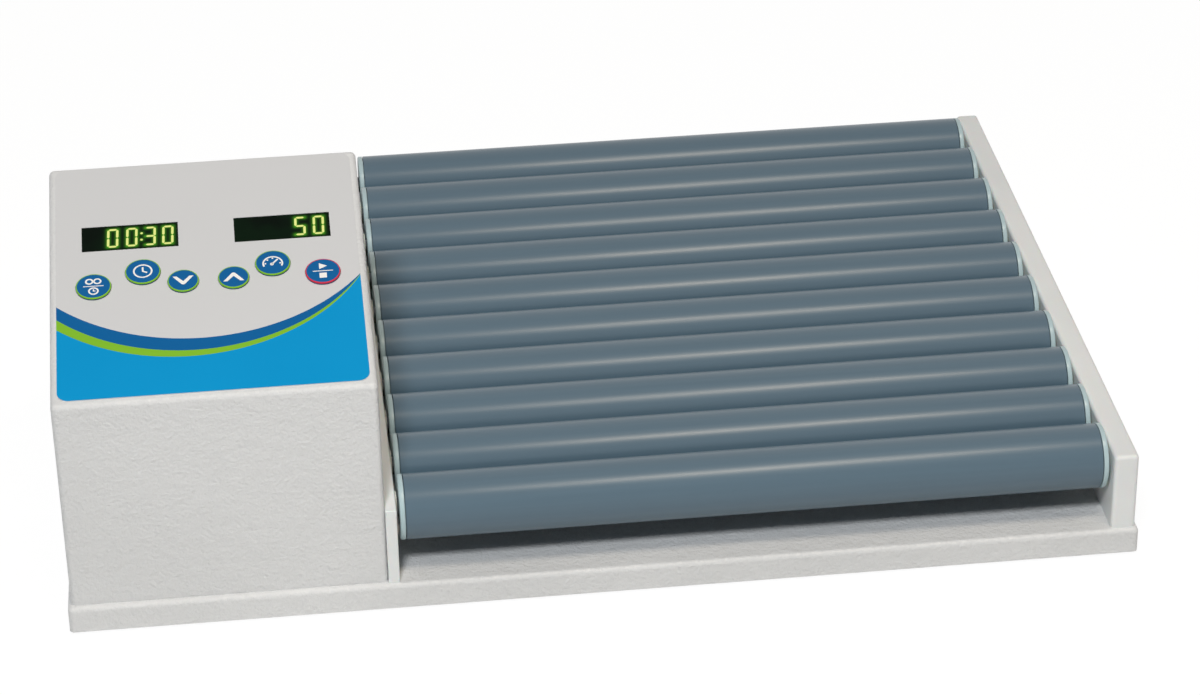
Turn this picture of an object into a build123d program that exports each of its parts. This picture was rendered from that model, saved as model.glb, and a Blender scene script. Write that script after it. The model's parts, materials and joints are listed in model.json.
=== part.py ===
"""Tube roller mixer: ten driven rollers on a low tray, with a sloping control console at the left.

Millimetres. +X runs along the rollers, the operator stands at -Y, and Z is up.
The origin is under the middle of the base, on the surface that the feet stand on.
"""

from build123d import *
from math import atan2, cos, degrees, hypot, radians, sin
import os

# Rollers
roller_count = 10
roller_pitch = 35.0
roller_diameter = 29.0
roller_length = 310.0
roller_wall = 2.0
row_margin = 19.5           # front edge of the base to the first axle, and last axle to the rear edge
axle_height = 28.0          # axle above the top of the tray

# Roller ends
cap_thickness = 2.6         # flange that shows beyond the tube
cap_lead = 0.4              # chamfer beside the tube
cap_round = 0.8             # rounded rim beside the plate
plug_length = 12.0
plug_fit = 0.05
axle_diameter = 8.0
cap_gap = 1.5               # flange to the plate beside it

# Plates that carry the rollers, and their bushes
left_plate_thickness = 5.0
right_plate_thickness = 11.0
plate_height = 37.0
plate_margin = 2.0          # plate to the front and rear edges of the base
left_plate_round = 0.6
right_plate_round = 1.8
bush_wall = 2.0
bush_flange = 0.7
bush_flange_lip = 1.2
running_fit = 0.05
press_fit = 0.02
bore_floor = 2.0            # closed end of the right plate's bores
axle_end_gap = 0.6

# Base
base_height = 12.0
base_skin = 1.5
base_bend = 2.2
side_margin = 1.5           # cover and right plate to the ends of the base
foot_drop = 2.0             # feet below the lip of the tray
pan_recess = 2.5            # bottom pan above the lip of the tray
pan_thickness = 1.2
pan_flange = 5.0
pan_fit = 0.3
foot_diameter = 20.0
foot_taper = 1.5
foot_stem_diameter = 6.0
foot_barb = 1.2
foot_lead = 0.6             # the tip is this much narrower than the stem
foot_tip = 2.4
foot_inset_x = 30.0
foot_inset_y = 30.0

# Console and drive cover
console_width = 138.5
console_margin = 3.0        # console behind the front edge of the base
console_front_height = 100.0
panel_slope = 15.0
panel_length = 153.0        # along the slope
cover_skin = 1.5
cover_bend = 2.5
drive_cover_height = 40.0
drive_cover_margin = 7.0    # drive cover to the rear edge of the base
rear_panel_fit = 0.3
rear_panel_foot = 12.0
slot_clearance = 1.0
least_radius = 0.05

# Control panel, displays and keys, from the middle and the lower edge of the slope
overlay_margin = 3.0
overlay_thickness = 0.5
overlay_corner = 5.0
display_size = (42.5, 16.0)
display_offset = 33.6
display_up = 102.8
display_sink = 0.25
window_fit = 0.3
key_diameter = 15.4
arrow_key_diameter = 13.6
key_thickness = 0.9
key_travel = 0.5
key_stop_gap = 0.1
key_fit = 0.3
key_round = 0.25
stem_diameter = 4.0
stem_clearance = 0.4
outer_key_offset = 50.0
middle_key_offset = 28.4
arrow_key_offset = 11.0
low_key_up = 71.5
high_key_up = 79.0
key_places = {
    "key_timed_mode": (-outer_key_offset, low_key_up, key_diameter),
    "key_time": (-middle_key_offset, high_key_up, key_diameter),
    "key_down": (-arrow_key_offset, low_key_up, arrow_key_diameter),
    "key_up": (arrow_key_offset, low_key_up, arrow_key_diameter),
    "key_speed": (middle_key_offset, high_key_up, key_diameter),
    "key_start_stop": (outer_key_offset, low_key_up, key_diameter),
}

# Control board
board_side_gap = 6.75       # board to the walls of the console
board_length = 76.0         # along the slope
board_up = 88.0
board_depth = 13.0          # from the panel's surface to the board's upper face
board_thickness = 1.6
board_hole_inset = 5.0
spacer_diameter = 6.0
switch_size = 6.0
switch_height = 3.5
chip_size = (16.0, 14.0, 2.5)
connector_size = (20.0, 6.0, 8.0)

# Pulleys and belts
pulley_track_diameter = 15.0
pulley_flange_rise = 2.0
pulley_flange_thickness = 1.0
pulley_track_width = 5.6
pulley_wall_gap = 1.3       # first pulley flange to the cover's wall
belt_width = 5.0
belt_thickness = 1.2
belt_clearance = 0.25

# Motor
motor_behind_axle = 30.0
motor_above_axle = 34.0
gearbox_diameter = 37.0
gearbox_length = 24.0
gearbox_nose_diameter = 12.0
motor_diameter = 34.0
motor_length = 30.0
motor_shaft_diameter = 6.0
motor_shaft_bore_depth = 14.0
bracket_thickness = 2.0
bracket_width = 46.0
bracket_foot = 30.0
bracket_bend = 1.8
bracket_pulley_gap = 4.0
bracket_top_gap = 4.0
motor_fit = 0.1
terminal_size = (6.0, 0.8, 4.0)
terminal_spacing = 17.0

# Power supply
supply_size = (62.0, 104.0, 26.0)
supply_skin = 1.2
supply_gap = 2.3            # supply beside the brackets
supply_behind_console = 30.0
supply_board_lift = 4.0
supply_parts = [
    # along X and along Y from the lower corner of the board, then length, depth and height
    (6.0, 10.0, 26.0, 24.0, 17.0),
    (38.0, 12.0, 14.0, 30.0, 12.0),
    (8.0, 42.0, 18.0, 18.0, 18.0),
    (36.0, 50.0, 16.0, 22.0, 14.0),
    (6.0, 82.0, 46.0, 12.0, 13.0),
]

# Power inlet with its rocker switch
inlet_flange = (50.0, 28.0, 2.0)
inlet_body = (45.0, 23.0, 20.0)
inlet_from_left = 42.0
inlet_fit = 0.3
socket_size = (24.0, 16.0)
socket_depth = 17.0
socket_corner = 4.0
socket_offset = 8.5
blade_size = (2.0, 4.0)
blade_length = 11.5
blade_spacing = 7.0
blade_offset = 2.0
rocker_offset = 14.5
rocker_width = 12.0
rocker_radius = 8.6
rocker_tilt = 11.0
rocker_pivot_depth = 2.0    # pivot behind the flange's outer face
rocker_fit = 0.3
rocker_back = 4.0
rocker_crown = 4.2

# Screws and the brackets that the covers are screwed to
screw_diameter = 3.0
screw_fit = 0.05
screw_hole_clearance = 0.2
screw_head_diameter = 5.6
screw_head_height = 1.4
screw_length = 11.5
cover_screw_up = 8.0
cover_screw_inset = 30.0    # screws to the front and rear ends of the console's side wall
angle_leg = 14.0
angle_width = 16.0
angle_sheet = 1.5
angle_bend = 0.8
angle_fit = 0.2             # bracket to the cover's wall

# Places that follow from the sizes
axle_radius = axle_diameter / 2
roller_radius = roller_diameter / 2
screw_radius = screw_diameter / 2
base_depth = (roller_count - 1) * roller_pitch + 2 * row_margin
bed_length = roller_length + 2 * (cap_thickness + cap_gap)
base_length = 2 * side_margin + console_width + left_plate_thickness + bed_length + right_plate_thickness
base_left = -base_length / 2
base_right = base_length / 2
base_front = -base_depth / 2
base_rear = base_depth / 2
lip_z = foot_drop
tray_top = foot_drop + base_height
tray_under = tray_top - base_skin
axle_z = tray_top + axle_height
axle_rows = [base_front + row_margin + i * roller_pitch for i in range(roller_count)]

cover_left = base_left + side_margin
cover_right = cover_left + console_width
left_plate_inner = cover_right + left_plate_thickness
tube_left = left_plate_inner + cap_gap + cap_thickness
tube_right = tube_left + roller_length
right_plate_inner = tube_right + cap_thickness + cap_gap
right_plate_outer = right_plate_inner + right_plate_thickness
plate_front = base_front + plate_margin
plate_rear = base_rear - plate_margin
plate_top = tray_top + plate_height

console_front = base_front + console_margin
console_front_top = tray_top + console_front_height
slope = radians(panel_slope)
console_rear = console_front + panel_length * cos(slope)
console_rear_top = console_front_top + panel_length * sin(slope)
console_middle = (cover_left + cover_right) / 2
drive_cover_rear = base_rear - drive_cover_margin
drive_cover_top = tray_top + drive_cover_height

bush_radius = axle_radius + running_fit + bush_wall
pulley_radius = pulley_track_diameter / 2
pulley_flange_radius = pulley_radius + pulley_flange_rise
pulley_right = cover_right - cover_skin - pulley_wall_gap
near_track = pulley_right - pulley_flange_thickness - pulley_track_width / 2
far_track = near_track - pulley_track_width - pulley_flange_thickness
pulley_left = far_track - pulley_track_width / 2 - pulley_flange_thickness
motor_y = axle_rows[0] + motor_behind_axle
motor_z = axle_z + motor_above_axle
bracket_right = pulley_left - bracket_pulley_gap
bracket_left = bracket_right - bracket_thickness
bracket_top = motor_z + gearbox_diameter / 2 + bracket_top_gap

inlet_x = cover_left + inlet_from_left
inlet_z = tray_top + drive_cover_height / 2
socket_x = inlet_x + socket_offset
rocker_x = inlet_x - rocker_offset

panel = Plane(
    origin=(console_middle, console_front, console_front_top),
    x_dir=(1, 0, 0),
    z_dir=(0, -sin(slope), cos(slope)),
)
key_lift = key_travel + key_stop_gap
stem_length = board_depth - switch_height - key_stop_gap - key_travel + key_lift
board_width = console_width - 2 * (cover_skin + board_side_gap)
pan_top = lip_z + pan_recess + pan_thickness
plate_screw_rows = [(axle_rows[i] + axle_rows[i + 1]) / 2 for i in (0, 3, roller_count - 5, roller_count - 2)]
cover_screw_rows = {
    "console": (console_front + cover_screw_inset, console_rear - cover_screw_inset),
    "drive": (console_rear + roller_pitch, drive_cover_rear - roller_pitch),
}


def block(xs, ys, zs):
    """A box between two values along each axis."""
    spans = (xs, ys, zs)
    middle = [(low + high) / 2 for low, high in spans]
    return Pos(*middle) * Box(*[high - low for low, high in spans])


def rod(x_from, x_to, y, z, radius):
    """A cylinder along X."""
    lying = Rot(0, 90, 0) * Cylinder(radius, x_to - x_from)
    return Pos((x_from + x_to) / 2, y, z) * lying


def post(x, y, z_from, z_to, radius):
    """A cylinder along Z."""
    return Pos(x, y, (z_from + z_to) / 2) * Cylinder(radius, z_to - z_from)


def turned(outline, y, z):
    """A piece turned about an axis along X, from points of distance along X and radius."""
    half = make_face(Polyline(*outline, close=True))
    return Pos(0, y, z) * revolve(half, Axis.X)


def across(outline, x_from, x_to):
    """An outline of Y and Z points carried along X."""
    flat = make_face(Plane.YZ * Polyline(*outline, close=True))
    return Pos(x_from, 0, 0) * extrude(flat, amount=x_to - x_from, dir=(1, 0, 0))


def soften(solid, edges, radius):
    """Rounds edges where the radius is worth a fillet."""
    return fillet(edges, radius) if radius > least_radius else solid


def roller_tube(y):
    outer = rod(tube_left, tube_right, y, axle_z, roller_radius)
    return outer - rod(tube_left, tube_right, y, axle_z, roller_radius - roller_wall)


def end_outline(joint, outward):
    """Plug, flange and start of the axle, from the tube's end at joint towards outward, -1 or 1."""
    plug = roller_radius - roller_wall - plug_fit
    flange = joint + outward * cap_thickness
    inner = joint - outward * plug_length
    return [
        (inner, 0),
        (inner, plug),
        (joint, plug),
        (joint, roller_radius - cap_lead),
        (joint + outward * cap_lead, roller_radius),
        (flange, roller_radius),
        (flange, axle_radius),
    ]


def roller_end(outline, y, outward):
    """A roller's end, turned from its outline, with the rim of its flange rounded on the outer side."""
    body = turned(outline, y, axle_z)
    widest = body.edges().filter_by(GeomType.CIRCLE).group_by(SortBy.RADIUS)[-1]
    rim = widest.sort_by(Axis.X)[-1 if outward > 0 else 0]
    return soften(body, rim, min(cap_round, (cap_thickness - cap_lead) / 2))


def drive_end(y):
    """Left cap with its axle and the double pulley that the belts run on."""
    outline = end_outline(tube_left, -1) + [(pulley_right, axle_radius)]
    edge = pulley_right
    for last in (False, True):
        outline += [(edge, pulley_flange_radius), (edge - pulley_flange_thickness, pulley_flange_radius)]
        edge -= pulley_flange_thickness
        outline += [(edge, pulley_radius), (edge - pulley_track_width, pulley_radius)]
        edge -= pulley_track_width
    outline += [(edge, pulley_flange_radius), (pulley_left, pulley_flange_radius), (pulley_left, 0)]
    return roller_end(outline, y, -1)


def idle_end(y):
    """Right cap with the axle that ends in the right plate's blind bore."""
    tip = right_plate_outer - bore_floor - axle_end_gap
    return roller_end(end_outline(tube_right, 1) + [(tip, axle_radius), (tip, 0)], y, 1)


def bush(y, face, outward):
    """Flanged bush, from its flange on the plate's inner face into the plate, towards outward, -1 or 1."""
    bore = axle_radius + running_fit
    far = face + outward * left_plate_thickness
    outline = [
        (face - outward * bush_flange, bore),
        (face - outward * bush_flange, bush_radius + bush_flange_lip),
        (face, bush_radius + bush_flange_lip),
        (face, bush_radius - press_fit),
        (far, bush_radius - press_fit),
        (far, bore),
    ]
    return turned(outline, y, axle_z)


def axle_bushes():
    """One bush for each axle's end, all of them alike."""
    faces = ((left_plate_inner, -1), (right_plate_inner, 1))
    return [bush(y, face, outward) for face, outward in faces for y in axle_rows]


def plate(x_from, x_to, floor, rounding):
    """Upright plate with rounded edges, bored for the bushes and for the screws from below."""
    body = block((x_from, x_to), (plate_front, plate_rear), (tray_top, plate_top))
    body = soften(body, body.edges() - body.faces().sort_by(Axis.Z)[0].edges(), rounding)
    for y in axle_rows:
        body -= rod(x_from, x_to - floor, y, axle_z, bush_radius)
    middle = (x_from + x_to) / 2
    for y in plate_screw_rows:
        body -= post(middle, y, tray_top, tray_under + screw_length + screw_fit, screw_radius + screw_fit)
    return body


def pan_head_screws():
    """Equal screws: those that hold the plates from inside the base, and those in the covers' left walls."""
    head = post(0, 0, -screw_head_height, 0, screw_head_diameter / 2)
    screw = head + post(0, 0, 0, screw_length, screw_radius)
    plates = ((cover_right, left_plate_inner), (right_plate_inner, right_plate_outer))
    places = [Pos((a + b) / 2, y, tray_under) for a, b in plates for y in plate_screw_rows]
    places += [
        Pos(cover_left, y, tray_top + cover_screw_up) * Rot(0, 90, 0)
        for rows in cover_screw_rows.values()
        for y in rows
    ]
    return [place * screw for place in places]


def base_form(inset):
    """The tray's outer form, drawn in by inset, with its upper bends and its corners rounded."""
    xs = (base_left + inset, base_right - inset)
    ys = (base_front + inset, base_rear - inset)
    form = block(xs, ys, (lip_z, tray_top - inset))
    bends = form.edges() - form.faces().sort_by(Axis.Z)[0].edges()
    return soften(form, bends, base_bend - inset)


def base_tray():
    """Folded tray with lips on all sides and the holes for the screws of the end plates."""
    tray = base_form(0) - base_form(base_skin)
    for x in ((cover_right + left_plate_inner) / 2, (right_plate_inner + right_plate_outer) / 2):
        for y in plate_screw_rows:
            tray -= post(x, y, tray_under, tray_top, screw_radius + screw_hole_clearance)
    return tray


def cover_brackets():
    """Angle brackets welded to the tray inside the covers, with a tapped hole for each cover screw."""
    half = angle_width / 2
    foot = block((0, angle_leg), (-half, half), (0, angle_sheet))
    upright = block((0, angle_sheet), (-half, half), (0, angle_leg))
    angle = foot + upright - rod(0, angle_sheet, 0, cover_screw_up, screw_radius + screw_fit)
    corner = angle.edges().filter_by(Axis.Y).sort_by_distance((0, 0, 0))[0]
    angle = fillet(corner, angle_bend)
    inside = cover_skin + angle_fit
    places = [Pos(cover_left + inside, y, tray_top) for rows in cover_screw_rows.values() for y in rows]
    return [place * angle for place in places]


def feet_places():
    return [
        (x, y)
        for x in (base_left + foot_inset_x, base_right - foot_inset_x)
        for y in (base_front + foot_inset_y, base_rear - foot_inset_y)
    ]


def bottom_pan():
    """Shallow pan that closes the underside, with its rim turned up inside the lips."""
    gap = base_skin + pan_fit
    xs = (base_left + gap, base_right - gap)
    ys = (base_front + gap, base_rear - gap)
    low = lip_z + pan_recess
    pan = block(xs, ys, (low, low + pan_flange))
    inner_x = (xs[0] + pan_thickness, xs[1] - pan_thickness)
    inner_y = (ys[0] + pan_thickness, ys[1] - pan_thickness)
    pan -= block(inner_x, inner_y, (pan_top, low + pan_flange))
    for x, y in feet_places():
        pan -= post(x, y, low, pan_top, foot_stem_diameter / 2 + pan_fit)
    return pan


def rubber_feet():
    """Tapered feet whose barbed stems snap through the bottom pan."""
    low = lip_z + pan_recess
    wide = foot_diameter / 2
    stem = foot_stem_diameter / 2
    barb = pan_top + pan_fit
    outline = [
        (0, 0),
        (wide - foot_taper, 0),
        (wide, low),
        (stem, low),
        (stem, barb),
        (stem + foot_barb, barb),
        (stem - foot_lead, barb + foot_tip),
        (0, barb + foot_tip),
    ]
    half = make_face(Plane.XZ * Polyline(*outline, close=True))
    foot = revolve(half, Axis.Z)
    return [Pos(x, y, 0) * foot for x, y in feet_places()]


def console_form(inset):
    """The console's outer form, drawn in by inset, with its bends rounded."""
    rise = inset / cos(slope)
    front = console_front + inset
    rear = console_rear - inset
    front_top = console_front_top + (front - console_front) * sin(slope) / cos(slope) - rise
    rear_top = console_rear_top - (console_rear - rear) * sin(slope) / cos(slope) - rise
    outline = [(front, tray_top), (front, front_top), (rear, rear_top), (rear, tray_top)]
    form = across(outline, cover_left + inset, cover_right - inset)
    bends = form.edges() - form.faces().sort_by(Axis.Z)[0].edges()
    return soften(form, bends, cover_bend - inset)


def axle_slots(rows):
    """Slots, open at the bottom of a cover's right wall, that let it lift off over the axles."""
    radius = axle_radius + slot_clearance
    slots = []
    for y in rows:
        wall = (cover_right - cover_skin, cover_right)
        open_end = block(wall, (y - radius, y + radius), (tray_top, axle_z))
        slots.append(open_end + rod(*wall, y, axle_z, radius))
    return slots


def side_screw_hole(y):
    radius = screw_radius + screw_hole_clearance
    return rod(cover_left, cover_left + cover_skin, y, tray_top + cover_screw_up, radius)


def console_cover():
    """Folded console with a sloping top, openings for the displays and keys, and the board's spacers."""
    cover = console_form(0) - console_form(cover_skin)
    cover -= block(
        (cover_left + cover_skin, cover_right - cover_skin),
        (console_rear - cover_skin, console_rear),
        (tray_top, drive_cover_top - cover_skin),
    )
    for slot in axle_slots([y for y in axle_rows if y < console_rear]):
        cover -= slot
    for y in cover_screw_rows["console"]:
        cover -= side_screw_hole(y)
    through = Pos(0, 0, -cover_skin / 2)
    for side in (-1, 1):
        window = Box(display_size[0] + 2 * window_fit, display_size[1] + 2 * window_fit, 2 * cover_skin)
        cover -= panel * Pos(side * display_offset, display_up, 0) * through * window
    for u, v, _ in key_places.values():
        cover -= panel * Pos(u, v, 0) * through * Cylinder(stem_diameter / 2 + stem_clearance, 2 * cover_skin)
    spacer_length = board_depth - cover_skin
    for u, v in board_holes():
        spacer = Pos(u, v, -cover_skin - spacer_length / 2) * Cylinder(spacer_diameter / 2, spacer_length)
        cover += panel * spacer
    return cover


def drive_cover():
    """Low folded cover behind the console, over the belts and the power supply, open at its rear end."""
    skins = []
    for inset in (0, cover_skin):
        xs = (cover_left + inset, cover_right - inset)
        form = block(xs, (console_rear, drive_cover_rear), (tray_top, drive_cover_top - inset))
        bends = form.faces().sort_by(Axis.Z)[-1].edges().filter_by(Axis.Y)
        skins.append(soften(form, bends, cover_bend - inset))
    cover = skins[0] - skins[1]
    for slot in axle_slots([y for y in axle_rows if y > console_rear]):
        cover -= slot
    for y in cover_screw_rows["drive"]:
        cover -= side_screw_hole(y)
    return cover


def rear_panel():
    """Upright panel inside the rear end of the drive cover, welded to the tray by its bent foot."""
    gap = cover_skin + rear_panel_fit
    xs = (cover_left + gap, cover_right - gap)
    wall = (drive_cover_rear - cover_skin, drive_cover_rear)
    foot = (drive_cover_rear - rear_panel_foot, drive_cover_rear)
    body = block(xs, wall, (tray_top, drive_cover_top - gap))
    body += block(xs, foot, (tray_top, tray_top + cover_skin))
    corner = body.edges().filter_by(Axis.X).sort_by_distance((0, drive_cover_rear, tray_top))[0]
    body = soften(body, corner, cover_skin / 2)
    width = inlet_body[0] / 2 + inlet_fit
    height = inlet_body[1] / 2 + inlet_fit
    return body - block((inlet_x - width, inlet_x + width), wall, (inlet_z - height, inlet_z + height))


def control_panel():
    """Thin overlay on the slope, with windows for the displays and round openings for the keys."""
    width = console_width - 2 * overlay_margin
    length = panel_length - 2 * overlay_margin
    sheet = extrude(RectangleRounded(width, length, overlay_corner), overlay_thickness)
    sheet = Pos(0, panel_length / 2, 0) * sheet
    for side in (-1, 1):
        window = Box(*display_size, 2 * overlay_thickness)
        sheet -= Pos(side * display_offset, display_up, overlay_thickness / 2) * window
    for u, v, diameter in key_places.values():
        sheet -= Pos(u, v, overlay_thickness / 2) * Cylinder(diameter / 2 + key_fit, 2 * overlay_thickness)
    return panel * sheet


def key(u, v, diameter):
    """Round key with a rounded edge and the stem that reaches its switch on the board."""
    radius = diameter / 2
    top = key_lift + key_thickness
    outline = [
        (0, -stem_length + key_lift),
        (stem_diameter / 2, -stem_length + key_lift),
        (stem_diameter / 2, key_lift),
        (radius, key_lift),
        (radius, top),
        (0, top),
    ]
    body = revolve(make_face(Plane.XZ * Polyline(*outline, close=True)), Axis.Z)
    rim = body.edges().filter_by(GeomType.CIRCLE).sort_by(Axis.Z)[-1]
    return panel * Pos(u, v, 0) * soften(body, rim, key_round)


def display(side):
    """Display module that stands on the board and fills its window."""
    height = board_depth + overlay_thickness - display_sink
    body = Pos(0, 0, overlay_thickness - display_sink - height / 2) * Box(*display_size, height)
    return panel * Pos(side * display_offset, display_up, 0) * body


def board_holes():
    half_width = board_width / 2 - board_hole_inset
    half_length = board_length / 2 - board_hole_inset
    return [(u * half_width, board_up + v * half_length) for u in (-1, 1) for v in (-1, 1)]


def control_board():
    """Circuit board with a switch under each key, a chip and a connector."""
    board = Box(board_width, board_length, board_thickness)
    board = Pos(0, board_up, -board_depth - board_thickness / 2) * board
    for u, v, _ in key_places.values():
        board += Pos(u, v, -board_depth + switch_height / 2) * Box(switch_size, switch_size, switch_height)
    below = -board_depth - board_thickness
    board += Pos(0, board_up, below - chip_size[2] / 2) * Box(*chip_size)
    plug_up = board_up - board_length / 2 + connector_size[1]
    return panel * (board + Pos(0, plug_up, below - connector_size[2] / 2) * Box(*connector_size))


def belt(first, second, x):
    """Flat endless belt round two pulleys whose centres are given as Y and Z."""
    dy, dz = second[0] - first[0], second[1] - first[1]
    inner = 2 * (pulley_radius + belt_clearance)
    outer = inner + 2 * belt_thickness
    loop = SlotCenterToCenter(hypot(dy, dz), outer) - SlotCenterToCenter(hypot(dy, dz), inner)
    middle = Pos((first[0] + second[0]) / 2, (first[1] + second[1]) / 2)
    flat = Plane.YZ * middle * Rot(0, 0, degrees(atan2(dz, dy))) * loop
    return Pos(x - belt_width / 2, 0, 0) * extrude(flat, amount=belt_width, dir=(1, 0, 0))


def roller_belts():
    """One belt for each pair of neighbours, in turn on the near and the far track."""
    belts = []
    for i in range(roller_count - 1):
        track = near_track if i % 2 == 0 else far_track
        belts.append(belt((axle_rows[i], axle_z), (axle_rows[i + 1], axle_z), track))
    return belts


def motor_shaft():
    pulley_end = far_track + pulley_track_width / 2 + pulley_flange_thickness
    return rod(bracket_left - motor_shaft_bore_depth, pulley_end, motor_y, motor_z, motor_shaft_diameter / 2)


def motor_pulley():
    """Single pulley in line with the far track."""
    half = pulley_track_width / 2
    bore = motor_shaft_diameter / 2
    edge = half + pulley_flange_thickness
    outline = [
        (far_track - edge, bore),
        (far_track - edge, pulley_flange_radius),
        (far_track - half, pulley_flange_radius),
        (far_track - half, pulley_radius),
        (far_track + half, pulley_radius),
        (far_track + half, pulley_flange_radius),
        (far_track + edge, pulley_flange_radius),
        (far_track + edge, bore),
    ]
    return turned(outline, motor_y, motor_z)


def drive_motor():
    """Geared motor: round gearbox with a nose in the bracket, and the motor behind it."""
    gear_end = bracket_left - gearbox_length
    motor_end = gear_end - motor_length
    body = rod(gear_end, bracket_left, motor_y, motor_z, gearbox_diameter / 2)
    body += rod(motor_end, gear_end, motor_y, motor_z, motor_diameter / 2)
    body += rod(bracket_left, bracket_right, motor_y, motor_z, gearbox_nose_diameter / 2)
    body -= rod(
        bracket_left - motor_shaft_bore_depth,
        bracket_right,
        motor_y,
        motor_z,
        motor_shaft_diameter / 2 + running_fit,
    )
    length, width, height = terminal_size
    for side in (-1, 1):
        y = motor_y + side * terminal_spacing / 2
        xs = (motor_end - length, motor_end)
        body += block(xs, (y - width / 2, y + width / 2), (motor_z - height / 2, motor_z + height / 2))
    return body


def motor_bracket():
    """Bent sheet bracket that stands on the tray and carries the gearbox."""
    ys = (motor_y - bracket_width / 2, motor_y + bracket_width / 2)
    foot = block((bracket_right - bracket_foot, bracket_right), ys, (tray_top, tray_top + bracket_thickness))
    wall = block((bracket_left, bracket_right), ys, (tray_top, bracket_top))
    body = foot + wall
    corner = body.edges().filter_by(Axis.Y).sort_by_distance((bracket_right, motor_y, tray_top))
    body = fillet(corner[0], bracket_bend)
    return body - rod(bracket_left, bracket_right, motor_y, motor_z, gearbox_nose_diameter / 2 + motor_fit)


def power_supply():
    """Channel-shaped tray with the supply's board and its main components."""
    length, depth, height = supply_size
    x = cover_left + cover_skin + angle_fit + angle_leg + supply_gap
    y = console_rear + supply_behind_console
    body = block((x, x + length), (y, y + depth), (tray_top, tray_top + supply_skin))
    for wall in (x, x + length - supply_skin):
        body += block((wall, wall + supply_skin), (y, y + depth), (tray_top, tray_top + height))
    board = tray_top + supply_board_lift
    top = board + board_thickness
    body += block((x + supply_skin, x + length - supply_skin), (y, y + depth), (board, top))
    for at_x, at_y, size_x, size_y, size_z in supply_parts:
        corner_x, corner_y = x + at_x, y + at_y
        body += block((corner_x, corner_x + size_x), (corner_y, corner_y + size_y), (board, top + size_z))
    return body


def power_inlet():
    """Inlet module in the rear wall: a plug recess with three blades, and the pocket of its switch."""
    outer_face = drive_cover_rear + inlet_flange[2]
    flange = block(
        (inlet_x - inlet_flange[0] / 2, inlet_x + inlet_flange[0] / 2),
        (drive_cover_rear, outer_face),
        (inlet_z - inlet_flange[1] / 2, inlet_z + inlet_flange[1] / 2),
    )
    flange = chamfer(flange.edges().filter_by(Axis.Y), inlet_flange[2] / 2)
    body = flange + block(
        (inlet_x - inlet_body[0] / 2, inlet_x + inlet_body[0] / 2),
        (drive_cover_rear - inlet_body[2], drive_cover_rear),
        (inlet_z - inlet_body[1] / 2, inlet_z + inlet_body[1] / 2),
    )
    half_width, half_height = socket_size[0] / 2, socket_size[1] / 2
    recess = block(
        (socket_x - half_width, socket_x + half_width),
        (outer_face - socket_depth, outer_face),
        (inlet_z - half_height, inlet_z + half_height),
    )
    lower = recess.edges().filter_by(Axis.Y).sort_by(Axis.Z)[:2]
    body -= chamfer(lower, socket_corner)
    floor = outer_face - socket_depth
    for across_x, up in ((-blade_spacing, -blade_offset), (blade_spacing, -blade_offset), (0, blade_offset)):
        x, z = socket_x + across_x, inlet_z + up
        body += block(
            (x - blade_size[0] / 2, x + blade_size[0] / 2),
            (floor, floor + blade_length),
            (z - blade_size[1] / 2, z + blade_size[1] / 2),
        )
    pocket_depth = rocker_pivot_depth + rocker_back + rocker_fit
    pocket_depth += rocker_radius * sin(radians(rocker_tilt))
    pocket_height = rocker_radius + rocker_fit
    return body - block(
        (rocker_x - rocker_width / 2 - rocker_fit, rocker_x + rocker_width / 2 + rocker_fit),
        (outer_face - pocket_depth, outer_face),
        (inlet_z - pocket_height, inlet_z + pocket_height),
    )


def rocker_switch():
    """Rocker with two faces that meet in a shallow valley, tilted to its lower stop."""
    pivot_y = drive_cover_rear + inlet_flange[2] - rocker_pivot_depth
    tilt = radians(rocker_tilt)
    valley = rocker_crown - rocker_radius * sin(tilt) / 2
    outline = [
        (-rocker_back, -rocker_radius / 2),
        (valley - rocker_pivot_depth, -rocker_radius * cos(tilt)),
        (rocker_crown, -rocker_radius * cos(2 * tilt)),
        (valley, 0),
        (rocker_crown, rocker_radius * cos(2 * tilt)),
        (valley - rocker_pivot_depth, rocker_radius * cos(tilt)),
        (-rocker_back, rocker_radius / 2),
    ]
    body = across(outline, -rocker_width / 2, rocker_width / 2)
    body &= rod(-rocker_width / 2, rocker_width / 2, 0, 0, rocker_radius)
    return Pos(rocker_x, pivot_y, inlet_z) * Rot(-rocker_tilt, 0, 0) * body


pieces = {
    "base_tray": base_tray(),
    "bottom_pan": bottom_pan(),
    "rubber_feet": rubber_feet(),
    "left_end_plate": plate(cover_right, left_plate_inner, 0, left_plate_round),
    "right_end_plate": plate(right_plate_inner, right_plate_outer, bore_floor, right_plate_round),
    "axle_bushes": axle_bushes(),
    "pan_head_screws": pan_head_screws(),
    "cover_brackets": cover_brackets(),
    "console_cover": console_cover(),
    "drive_cover": drive_cover(),
    "rear_panel": rear_panel(),
    "control_panel": control_panel(),
    "time_display": display(-1),
    "speed_display": display(1),
    "control_board": control_board(),
    "power_supply": power_supply(),
    "drive_motor": drive_motor(),
    "motor_bracket": motor_bracket(),
    "motor_shaft": motor_shaft(),
    "motor_pulley": motor_pulley(),
    "motor_belt": belt((axle_rows[0], axle_z), (motor_y, motor_z), far_track),
    "roller_belts": roller_belts(),
    "power_inlet": power_inlet(),
    "rocker_switch": rocker_switch(),
}
for name, place in key_places.items():
    pieces[name] = key(*place)
for number, row in enumerate(axle_rows, start=1):
    pieces[f"roller_tube_{number:02d}"] = roller_tube(row)
    pieces[f"roller_drive_end_{number:02d}"] = drive_end(row)
    pieces[f"roller_idle_end_{number:02d}"] = idle_end(row)

os.makedirs("parts", exist_ok=True)
for name, shape in pieces.items():
    if isinstance(shape, list):
        shape = Compound(children=shape)
    export_step(shape, f"parts/{name}.step")
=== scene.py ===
"""Finishes of the tube roller mixer, and the fine pieces that its solids leave out.

Metres, in the part's own frame: +X runs along the rollers, the operator stands at -Y, and Z is up.
"""

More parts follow.
